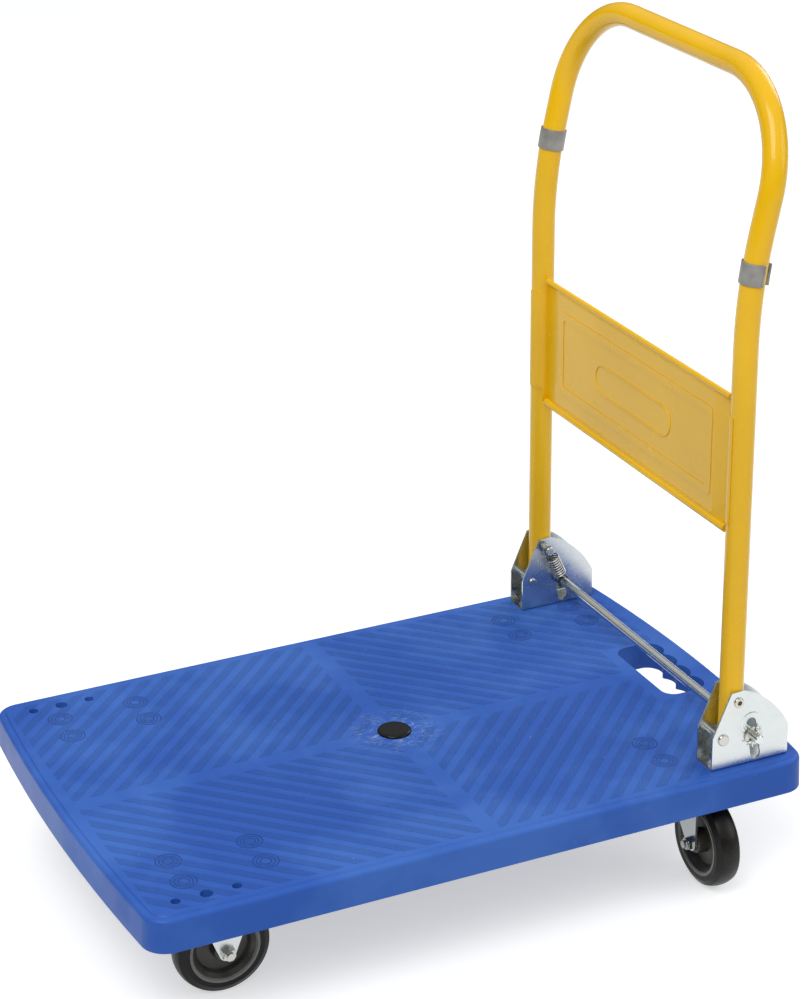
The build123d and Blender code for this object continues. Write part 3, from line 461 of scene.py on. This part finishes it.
def piece(name, shape, body, material, crease=35):
    """Turn a bmesh into a finished piece that rides on a body."""
    bmesh.ops.remove_doubles(shape, verts=shape.verts, dist=1e-7)
    bmesh.ops.recalc_face_normals(shape, faces=shape.faces)
    mesh = bpy.data.meshes.new(name)
    shape.to_mesh(mesh)
    shape.free()
    return shown(name, mesh, body, material, crease)


def shown(name, mesh, body, material, crease=35):
    for face in mesh.polygons:
        face.use_smooth = True
    mesh.set_sharp_from_angle(angle=math.radians(crease))
    mesh.materials.clear()
    mesh.materials.append(material)
    obj = bpy.data.objects.new(name, mesh)
    bpy.context.scene.collection.objects.link(obj)
    if body:
        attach(obj, body)
    return obj


def add_lathe(shape, profile, centre, axis, steps=48, angle=2 * math.pi, start=None):
    """Spin a closed profile of (radius, along) points about an axis, into a bmesh."""
    out = (start or axis.orthogonal()).normalized()
    verts = [shape.verts.new(centre + out * r + axis * h) for r, h in profile]
    whole = angle > 2 * math.pi - 1e-6
    if whole:
        edges = [shape.edges.new((a, b)) for a, b in zip(verts, verts[1:] + verts[:1])]
        geom = verts + edges
    else:
        geom = [shape.faces.new(verts)]
        geom += list(geom[0].edges) + verts
    bmesh.ops.spin(shape, geom=geom, cent=centre, axis=axis, angle=angle, steps=steps, use_merge=whole)
    return shape


def add_wire(shape, points, radius, closed=False, sides=3, smooth=False):
    """Run a round wire along points, into a bmesh. sides is the curve's bevel resolution."""
    curve = bpy.data.curves.new("wire", "CURVE")
    curve.dimensions = "3D"
    curve.bevel_depth = radius
    curve.bevel_resolution = sides
    curve.use_fill_caps = not closed
    curve.resolution_u = 6 if smooth else 1
    spline = curve.splines.new("NURBS" if smooth else "POLY")
    spline.points.add(len(points) - 1)
    for point, place in zip(spline.points, points):
        point.co = (*place, 1)
    spline.use_cyclic_u = closed
    if smooth:
        spline.order_u = 4
        spline.use_endpoint_u = not closed
    holder = bpy.data.objects.new("wire", curve)
    bpy.context.scene.collection.objects.link(holder)
    made = evaluated(holder)
    shape.from_mesh(made)
    bpy.data.objects.remove(holder)
    bpy.data.curves.remove(curve)
    bpy.data.meshes.remove(made)
    return shape


def cut_away(shape, cutter):
    """Take one bmesh out of another and return the result as a mesh."""
    objects = []
    for name, part in (("kept", shape), ("cutter", cutter)):
        bmesh.ops.recalc_face_normals(part, faces=part.faces)
        mesh = bpy.data.meshes.new(name)
        part.to_mesh(mesh)
        part.free()
        objects.append(bpy.data.objects.new(name, mesh))
        bpy.context.scene.collection.objects.link(objects[-1])
    kept, tool = objects
    modifier = kept.modifiers.new("cut", "BOOLEAN")
    modifier.operation, modifier.object, modifier.solver = "DIFFERENCE", tool, "EXACT"
    result = evaluated(kept)
    for obj in objects:
        bpy.data.objects.remove(obj)
    return result


def add_block(shape, low, high):
    low, high = Vector(low), Vector(high)
    size = high - low
    made = bmesh.ops.create_cube(shape, size=1)
    bmesh.ops.scale(shape, vec=size, verts=made["verts"])
    bmesh.ops.translate(shape, vec=(low + high) / 2, verts=made["verts"])


def add_drum(shape, centre, radius, height, segments=32):
    made = bmesh.ops.create_cone(shape, cap_ends=True, segments=segments,
                                 radius1=radius, radius2=radius, depth=height)
    bmesh.ops.translate(shape, vec=centre, verts=made["verts"])


def mirrored(shape):
    """Add the mirror image across the cart's middle."""
    copy = bmesh.ops.duplicate(shape, geom=everything(shape))
    bmesh.ops.scale(shape, vec=(1, -1, 1), verts=new_verts(copy))
    return shape


# --- deck ----------------------------------------------------------------------------------
def caster_screw_places():
    """Points over the sixteen caster screws, from the caster plates' corners."""
    for plate in both("fixed_fork") + both("swivel_plate"):
        top = middle(plate)
        for sx in (-1, 1):
            for sy in (-1, 1):
                yield Vector((top.x + sx * SCREW_ALONG, top.y + sy * SCREW_ACROSS, DECK_TOP))


def tread_quadrant(shape, looks, sx, sy, reach_x, reach_y):
    """Add the stippled stripes of one quarter of the deck to a bmesh, as flat faces."""
    quarter = bmesh.new()
    made = bmesh.ops.create_grid(quarter, x_segments=1, y_segments=1, size=0.5)
    size = Vector((reach_x - looks.cross, reach_y - looks.cross, 1))
    bmesh.ops.scale(quarter, vec=size, verts=made["verts"])
    shift = Vector((sx * (looks.cross + size.x / 2), sy * (looks.cross + size.y / 2), DECK_TOP))
    bmesh.ops.translate(quarter, vec=shift, verts=made["verts"])
    outward = Vector((sx, sy, 0)).normalized()
    half = looks.pitch * looks.stripe / 2
    count = int((reach_x + reach_y) / looks.pitch) + 2
    for i in range(-1, count):
        for edge in (-half, half):
            place = (looks.first + i * looks.pitch + edge) / math.sqrt(2)
            if place > 0:
                bmesh.ops.bisect_plane(quarter, geom=everything(quarter),
                                       plane_co=outward * place, plane_no=outward)
    plain = []
    for face in quarter.faces:
        centre = face.calc_center_median()
        along = (abs(centre.x) + abs(centre.y) - looks.first) / looks.pitch
        if abs(along - round(along)) > looks.stripe / 2:
            plain.append(face)
    bmesh.ops.delete(quarter, geom=plain, context="FACES")
    rounding = 15 * MM
    corner = Vector((sx * (reach_x - rounding), sy * (reach_y - rounding), 0))
    for degrees in (22.5, 45, 67.5):
        lean = math.radians(degrees)
        away = Vector((sx * math.cos(lean), sy * math.sin(lean), 0))
        bmesh.ops.bisect_plane(quarter, geom=everything(quarter),
                               plane_co=corner + away * rounding, plane_no=away, clear_outer=True)
    made = bpy.data.meshes.new("quarter")
    quarter.to_mesh(made)
    quarter.free()
    shape.from_mesh(made)
    bpy.data.meshes.remove(made)


def make_tread(looks, material):
    """The four quarters of slanted stippled stripes, cut round every hole and fitting."""
    low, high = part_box("deck")
    shape = bmesh.new()
    for sx in (-1, 1):
        for sy in (-1, 1):
            end, bow = (high.x, 5 * MM) if sx > 0 else (-low.x, 9 * MM)
            tread_quadrant(shape, looks, sx, sy, end - looks.margin - bow, high.y - looks.margin)
    raised = bmesh.ops.extrude_face_region(shape, geom=shape.faces[:])
    bmesh.ops.translate(shape, vec=Z * looks.rise, verts=new_verts(raised))
    bottoms = [v for v in shape.verts if v.co.z < DECK_TOP + looks.rise / 2]
    bmesh.ops.translate(shape, vec=Z * -0.3 * MM, verts=bottoms)
    cutter = bmesh.new()
    tall = 4 * MM
    bottom, top = DECK_TOP - tall / 2, DECK_TOP + tall / 2
    for side in SIDES.values():
        for step, radius in ((0, 7.2 * MM), (-TIE_PITCH, 5.7 * MM), (TIE_PITCH, 5.7 * MM)):
            add_drum(cutter, Vector((TIE_X + step, side * TIE_Y, DECK_TOP)), radius, tall)
    add_drum(cutter, Vector((0, 0, DECK_TOP)), 21 * MM, tall, 48)
    slot_rear, slot_front, slot_end = -0.356, -0.2835, 0.066
    add_block(cutter, (slot_rear, -slot_end, bottom), (slot_front, slot_end, top))
    for bracket in both("bracket"):
        near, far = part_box(bracket)
        add_block(cutter, (near.x - MM, near.y - MM, bottom), (far.x + MM, far.y + MM, top))
    shown("deck_tread", cut_away(shape, cutter), "platform", material, 30)


def make_rings(looks, material):
    """Three thin rings moulded over each caster screw."""
    shape = bmesh.new()
    half, foot, height = 0.30 * MM, 0.62 * MM, 0.55 * MM
    sunk, surface = -0.2 * MM, 0.02 * MM
    for place in caster_screw_places():
        for i in range(3):
            radius = looks.ring_radius - i * looks.ring_pitch
            profile = [(radius - foot, sunk), (radius - foot, surface), (radius - half, height),
                       (radius + half, height), (radius + foot, surface), (radius + foot, sunk)]
            add_lathe(shape, profile, place, Z, 40)
    piece("deck_ring_marks", shape, "platform", material, 60)


def make_cap_dome(material):
    """Plain shallow dome with a rounded shoulder."""
    low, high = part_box("centre_cap")
    top = high.z - DECK_TOP
    edge, stem, seat, bottom = 18 * MM, 11 * MM, -0.05 * MM, low.z - DECK_TOP
    crown = ((5, 0.04), (10, 0.18), (13.6, 0.42), (15.4, 0.72), (16.6, 1.15), (17.4, 1.75),
             (17.85, 2.5))
    profile = [(0, top), *((radius * MM, top - fall * MM) for radius, fall in crown),
               (edge, 0.3 * MM), (edge, seat), (stem, seat), (stem, bottom), (0, bottom)]
    shape = add_lathe(bmesh.new(), profile, Vector((0, 0, DECK_TOP)), Z, 64)
    obj = piece("centre_cap_dome", shape, "platform", material, 50)
    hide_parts("centre_cap")


class CART_OT_deck(bpy.types.Operator):
    """Finish the deck: blue plastic, stippled tread, ring marks and the cap"""
    bl_idname = "cart.deck"
    bl_label = "Deck"

    def execute(self, context):
        looks = context.scene.cart_deck
        dress(deck_plastic(looks), "deck")
        black = black_plastic()
        dress(black, "centre_cap")
        make_tread(looks, deck_plastic(looks, "deck_stipple", True))
        # The ring marks are the deck blue darkened to 0.62: painted shade along the rings.
        make_rings(looks, deck_plastic(looks, "deck_ring_plastic_painted_shade", tone=0.62))
        make_cap_dome(black)
        return {"FINISHED"}


# --- handle --------------------------------------------------------------------------------
def stadium(centre, half_length, half_height, count=10):
    """Points round a long rounded outline that faces +X."""
    points = []
    for side in (1, -1):
        for i in range(count + 1):
            turn = -math.pi / 2 + math.pi * i / count
            along = half_length - half_height + half_height * math.cos(turn)
            points.append(centre + Y * side * along + Z * side * half_height * math.sin(turn))
    return points


def make_panel_detail(material):
    """Pressed beads on the cross panel: a long plain oval, and a line below and above it."""
    low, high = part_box("cross_panel")
    face_x = PIVOT.x + PANEL_FACE
    centre = Vector((face_x, 0, (low.z + high.z) / 2))
    shape = bmesh.new()
    add_wire(shape, stadium(centre, 0.078, 0.0165), 1.1 * MM, closed=True)
    reach, line_x = PANEL_HALF_WIDTH - 31.5 * MM, face_x - 0.2 * MM
    for height, radius in ((low.z + 11.5 * MM, 1.0 * MM), (high.z - 8.0 * MM, 0.7 * MM)):
        add_wire(shape, [Vector((line_x, y, height)) for y in (-reach, reach)], radius)
    piece("panel_beads", shape, "handle", material, 50)


def make_clip(name, node, sign, material):
    """Sprung clip: an open ring whose two lips flare away from the tube."""
    inner, wall, tall = 12.7 * MM, 1.4 * MM, 22 * MM
    height = middle(node).z
    turn = math.asin((height - BEND_FOOT) / BEND_RADIUS)
    centre = Vector((PIVOT.x - BEND_RADIUS * (1 - math.cos(turn)), sign * LEG_Y, height))
    gap = math.radians(125 * sign)
    opening = math.radians(27)
    start = Vector((math.cos(gap + opening), math.sin(gap + opening), 0))
    shape = bmesh.new()
    verts = [shape.verts.new(centre + start * inner + Z * h) for h in (-tall / 2, tall / 2)]
    edge = shape.edges.new(verts)
    sweep = 2 * math.pi - 2 * opening
    bmesh.ops.spin(shape, geom=[*verts, edge], cent=centre, axis=Z, angle=sweep, steps=36)
    ends = [e for e in shape.edges
            if e.is_boundary and abs(e.verts[0].co.z - e.verts[1].co.z) > tall / 2]
    for end in ends:
        out = ((end.verts[0].co + end.verts[1].co) / 2 - centre).normalized()
        towards = Vector((math.cos(gap), math.sin(gap), 0))
        flare = (towards * 0.55 + out * 0.85).normalized()
        current = end
        for reach in (1.2 * MM, 1.8 * MM):
            grown = bmesh.ops.extrude_edge_only(shape, edges=[current])
            bmesh.ops.translate(shape, vec=flare * reach, verts=new_verts(grown))
            current = next(g for g in grown["geom"] if isinstance(g, bmesh.types.BMEdge))
            flare = (flare + out * 0.5).normalized()
    bmesh.ops.remove_doubles(shape, verts=shape.verts, dist=1e-6)
    bmesh.ops.recalc_face_normals(shape, faces=shape.faces)
    inward = sum(f.normal.dot(f.calc_center_median() - centre) for f in shape.faces) < 0
    if inward:
        bmesh.ops.reverse_faces(shape, faces=shape.faces)
    bmesh.ops.solidify(shape, geom=shape.faces[:], thickness=-wall)
    tilt = Matrix.Rotation(-turn, 4, "Y")
    bmesh.ops.rotate(shape, cent=centre, matrix=tilt, verts=shape.verts)
    bmesh.ops.recalc_face_normals(shape, faces=shape.faces)
    sharp = [e for e in shape.edges
             if len(e.link_faces) == 2 and e.calc_face_angle() > math.radians(60)]
    bmesh.ops.bevel(shape, geom=sharp, offset=0.35 * MM, affect="EDGES", segments=2,
                    profile=0.5, material=-1)
    obj = piece(name, shape, "handle", material, 50)
    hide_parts(node)


class CART_OT_handle(bpy.types.Operator):
    """Finish the handle: yellow tube and panel, pressed beads and grey clips"""
    bl_idname = "cart.handle"
    bl_label = "Handle"

    def execute(self, context):
        looks = context.scene.cart_paint
        paint = powder_coat(looks)
        clip = grey_clip(looks)
        dress(paint, "handle_tube", "cross_panel")
        dress(clip, *both("tube_clip"))
        make_panel_detail(paint)
        for side, sign in SIDES.items():
            make_clip(f"sprung_clip_{side}", f"tube_clip_{side}", sign, clip)
        return {"FINISHED"}


# --- brackets and lock -----------------------------------------------------------------------
def make_pressed_rings(material):
    """The pressed ring round the top end of each lock slot, on the outer plates."""
    outer_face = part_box("bracket_left")[1].y
    down = Vector((-math.sin(SLOPE), 0, -math.cos(SLOPE)))
    shape = bmesh.new()
    section = ((7.6, -0.2), (7.6, 0.15), (8.6, 0.50), (10.2, 0.58), (11.4, 0.35), (12.2, 0.05),
               (12.2, -0.2))
    profile = [(radius * MM, height * MM) for radius, height in section]
    gap = math.radians(52)
    centre = Vector((ROD.x + SLOT_RISE * math.sin(SLOPE), outer_face,
                     ROD.z + SLOT_RISE * math.cos(SLOPE)))
    start = Matrix.Rotation(gap, 3, Y) @ down
    add_lathe(shape, profile, centre, Y, 40, 2 * math.pi - 2 * gap, start)
    piece("pressed_rings", mirrored(shape), "platform", material, 45)


def make_split_pins(material):
    """Split pins: an eye of bent wire and two legs splayed below the rod."""
    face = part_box("lock_washers")[1].y
    lean = math.radians(33.4)
    along = Vector((-math.sin(lean), 0, math.cos(lean)))
    across = along.cross(Y)
    centre = Vector((ROD.x, face + 1.9 * MM, ROD.z))
    wire = 0.78 * MM

    def at(a, c):
        return centre + along * a * MM + across * c * MM

    points = [at(-11.6, -3.6), at(-9.6, -2.2), at(-7.6, -0.9), at(-6.2, -0.8), at(0, -0.8),
              at(5.4, -0.8), at(6.4, -1.3)]
    for i in range(9):
        turn = math.radians(-140 + i * 35)
        points.append(at(8.9 + 2.5 * math.cos(turn), 2.5 * math.sin(turn)))
    points += [at(6.4, 1.3), at(5.4, 0.8), at(0, 0.8), at(-6.0, 0.8), at(-7.4, 1.0),
               at(-9.2, 2.6), at(-10.8, 4.4)]
    shape = add_wire(bmesh.new(), points, wire, sides=2, smooth=True)
    obj = piece("bent_split_pins", mirrored(shape), "lock_bar", material, 60)
    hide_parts("split_pins")


def spring_points(looks, y):
    """Centre line of one spring: a hook, the coils and the other hook, as one wire."""
    top = Vector((PIVOT.x, y, PIVOT.z))
    bottom = Vector((ROD.x, y, ROD.z))
    along = (bottom - top).normalized()
    side = along.cross(Y)
    clear = 0.3 * MM
    upper = RIVET_RADIUS + 1.1 * looks.wire + clear
    lower = ROD_RADIUS + 1.1 * looks.wire + clear
    hook_steps, hook_turn, hook_skew, neck = 24, 330, 1.2 * MM, 2.6 * MM
    per_turn = 18

    def hook(centre, radius, first, sense, up):
        """An open loop round a rivet or rod, skewed so that its ends pass each other."""
        for i in range(hook_steps + 1):
            turn = math.radians(first + sense * i * hook_turn / hook_steps)
            points.append(centre + along * up * radius * math.cos(turn)
                          + side * radius * math.sin(turn)
                          + Y * (i / hook_steps - 0.5) * hook_skew)

    points = []
    hook(top, upper, -330, 1, 1)
    start = top + along * (upper + neck)
    end = bottom - along * (lower + neck)
    span = end - start
    steps = looks.turns * per_turn
    for i in range(steps + 1):
        turn = 2 * math.pi * i / per_turn
        grow = min(1.0, i / (per_turn / 2), (steps - i) / (per_turn / 2))
        radius = looks.coil * (0.25 + 0.75 * math.sin(grow * math.pi / 2))
        points.append(start + span * (i / steps) + side * radius * math.sin(turn)
                      + Y * radius * math.cos(turn))
    hook(bottom, lower, 150, -1, -1)
    return points, top, bottom


def make_springs(looks, material):
    for side in SIDES:
        y = middle(f"lock_spring_{side}").y
        points, top, bottom = spring_points(looks, y)
        shape = add_wire(bmesh.new(), points, looks.wire, sides=2)
        obj = piece(f"coil_spring_{side}", shape, None, material, 60)
        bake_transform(obj)
        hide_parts(f"lock_spring_{side}")


class CART_OT_brackets(bpy.types.Operator):
    """Finish the brackets, their rivets and bolts, and the lock rod with its springs"""
    bl_idname = "cart.brackets"
    bl_label = "Brackets and lock"

    def execute(self, context):
        looks = context.scene.cart_metal
        zinc = zinc_plate(looks)
        bright = zinc_plate(looks, "bright_zinc", 1.04, -0.06)
        yellowish = zinc_plate(looks, "rivet_zinc", 0.84, 0.0, 0.9)
        dress(zinc, *both("bracket"), *both("stop_sleeve"))
        dress(yellowish, *both("pivot_rivet"), *both("stop_rivet"), "bracket_washers", "lock_washers")
        dress(bright, "bracket_bolts", "bracket_nuts", "lock_rod", "split_pins")
        fall = PIVOT - ROD
        end = Vector((ROD.x, middle("lock_spring_left").y, ROD.z))
        steel = spring_steel(looks, "coiled_steel", (end, math.atan2(fall.x, fall.z)))
        dress(steel, *both("lock_spring"))
        make_pressed_rings(zinc)
        make_split_pins(bright)
        make_springs(looks, steel)
        return {"FINISHED"}


# --- casters and wheels ------------------------------------------------------------------------
class CART_OT_casters(bpy.types.Operator):
    """Finish the caster plates, forks, races and fasteners"""
    bl_idname = "cart.casters"
    bl_label = "Casters"

    def execute(self, context):
        looks = context.scene.cart_metal
        plate = zinc_plate(looks, "caster_zinc", 0.97, 0.02)
        dress(plate, *both("fixed_fork"), *both("swivel_plate"), *both("swivel_fork"))
        small = zinc_plate(looks, "fastener_zinc", 0.80, -0.06, 0.6)
        dress(small, *both("kingpin"), "caster_screws", *corners("axle_bolt"), *corners("axle_nut"),
              *corners("wheel_bush"))
        dress(spring_steel(looks), *both("race_balls"))
        return {"FINISHED"}


class CART_OT_wheels(bpy.types.Operator):
    """Finish the tyres and wheel cores"""
    bl_idname = "cart.wheels"
    bl_label = "Wheels"

    def execute(self, context):
        looks = context.scene.cart_wheels
        for end, axle in zip(ENDS, (Y, X)):
            for side in SIDES:
                name = f"{end}_{side}"
                centre = middle(f"tyre_{name}")
                dress(tyre_rubber(looks, f"tyre_rubber_{name}", centre, axle), f"tyre_{name}")
                dress(wheel_plastic(looks, f"wheel_plastic_{name}", centre, axle), f"wheel_core_{name}")
        return {"FINISHED"}


# --- stage -------------------------------------------------------------------------------------
LAMPS = (("key_light", (1.8, 1.6, 3.4), (2.4, 2.4), 96),
         ("fill_light", (-2.8, 2.2, 1.9), (2.0, 2.0), 27),
         ("back_light", (-3.1, -1.2, 2.4), (1.6, 2.0), 36))
AIM = (-0.05, 0, 0.35)


def make_lamp(name, place, size, power):
    """A soft rectangular lamp that shines at the cart."""
    lamp = bpy.data.lights.new(name, "AREA")
    lamp.shape = "RECTANGLE"
    lamp.size, lamp.size_y = size
    lamp.energy = power
    obj = bpy.data.objects.new(name, lamp)
    bpy.context.scene.collection.objects.link(obj)
    obj.location = place
    obj.rotation_mode = "QUATERNION"
    obj.rotation_quaternion = (Vector(AIM) - Vector(place)).to_track_quat("-Z", "Y")


def dim_at_horizon(tree):
    """A pale room whose light is dim at the horizon, so that bright metal has contrast."""
    sky = tree.nodes["Background"]
    sky.inputs["Color"].default_value = (0.93, 0.96, 1.0, 1)
    coords = tree.nodes.new("ShaderNodeTexCoord")
    split = tree.nodes.new("ShaderNodeSeparateXYZ")
    rise = tree.nodes.new("ShaderNodeMapRange")
    for key, value in (("From Min", 0.08), ("From Max", 0.75), ("To Min", 0.05), ("To Max", 0.80)):
        rise.inputs[key].default_value = value
    tree.links.new(coords.outputs["Generated"], split.inputs[0])
    tree.links.new(split.outputs["Z"], rise.inputs["Value"])
    path = tree.nodes.new("ShaderNodeLightPath")
    strongest = tree.nodes.new("ShaderNodeMath")
    strongest.operation = "MAXIMUM"
    tree.links.new(rise.outputs["Result"], strongest.inputs[0])
    tree.links.new(path.outputs["Is Camera Ray"], strongest.inputs[1])
    tree.links.new(strongest.outputs[0], sky.inputs["Strength"])


class CART_OT_stage(bpy.types.Operator):
    """Put the cart on a pale floor with soft light and the camera"""
    bl_idname = "cart.stage"
    bl_label = "Stage"

    def execute(self, context):
        scene = context.scene
        looks = scene.cart_stage
        shape = bmesh.new()
        bmesh.ops.create_grid(shape, x_segments=1, y_segments=1, size=20)
        mesh = bpy.data.meshes.new("pale_floor")
        shape.to_mesh(mesh)
        shape.free()
        mesh.materials.append(floor_paint(looks))
        floor = bpy.data.objects.new("pale_floor", mesh)
        scene.collection.objects.link(floor)
        camera = bpy.data.cameras.new("camera")
        camera.lens, camera.sensor_width = looks.lens, 36
        camera.shift_y = looks.rise
        camera.clip_end = 100
        holder = bpy.data.objects.new("camera", camera)
        holder.location = looks.place
        holder.rotation_euler = looks.turn
        scene.collection.objects.link(holder)
        scene.camera = holder
        world = bpy.data.worlds.new("soft_room")
        world.use_nodes = True
        dim_at_horizon(world.node_tree)
        scene.world = world
        for lamp in LAMPS:
            make_lamp(*lamp)
        scene.view_settings.view_transform = "Standard"
        scene.view_settings.look = "None"
        return {"FINISHED"}


# --- add-on ------------------------------------------------------------------------------------
STEPS = (CART_OT_deck, CART_OT_handle, CART_OT_brackets, CART_OT_casters, CART_OT_wheels, CART_OT_stage)
GROUPS = {"cart_deck": CartDeckLooks, "cart_paint": CartPaintLooks, "cart_metal": CartMetalLooks,
          "cart_wheels": CartWheelLooks, "cart_stage": CartStageLooks}


class CART_PT_looks(bpy.types.Panel):
    """Every step and every size that a user would change"""
    bl_idname = "CART_PT_looks"
    bl_label = "Platform cart"
    bl_space_type = "VIEW_3D"
    bl_region_type = "UI"
    bl_category = "Cart"

    def draw(self, context):
        for step in STEPS:
            self.layout.operator(step.bl_idname)
        for name in GROUPS:
            box = self.layout.box()
            for prop in GROUPS[name].__annotations__:
                box.prop(getattr(context.scene, name), prop)


CLASSES = (*GROUPS.values(), *STEPS, CART_PT_looks)


def register():
    for kind in CLASSES:
        bpy.utils.register_class(kind)
    for name, kind in GROUPS.items():
        setattr(bpy.types.Scene, name, bpy.props.PointerProperty(type=kind))


def unregister():
    for name in GROUPS:
        delattr(bpy.types.Scene, name)
    for kind in reversed(CLASSES):
        bpy.utils.unregister_class(kind)


def main():
    register()
    bpy.ops.cart.deck()
    bpy.ops.cart.handle()
    bpy.ops.cart.brackets()
    bpy.ops.cart.casters()
    bpy.ops.cart.wheels()
    bpy.ops.cart.stage()


if __name__ == "__main__":
    main()
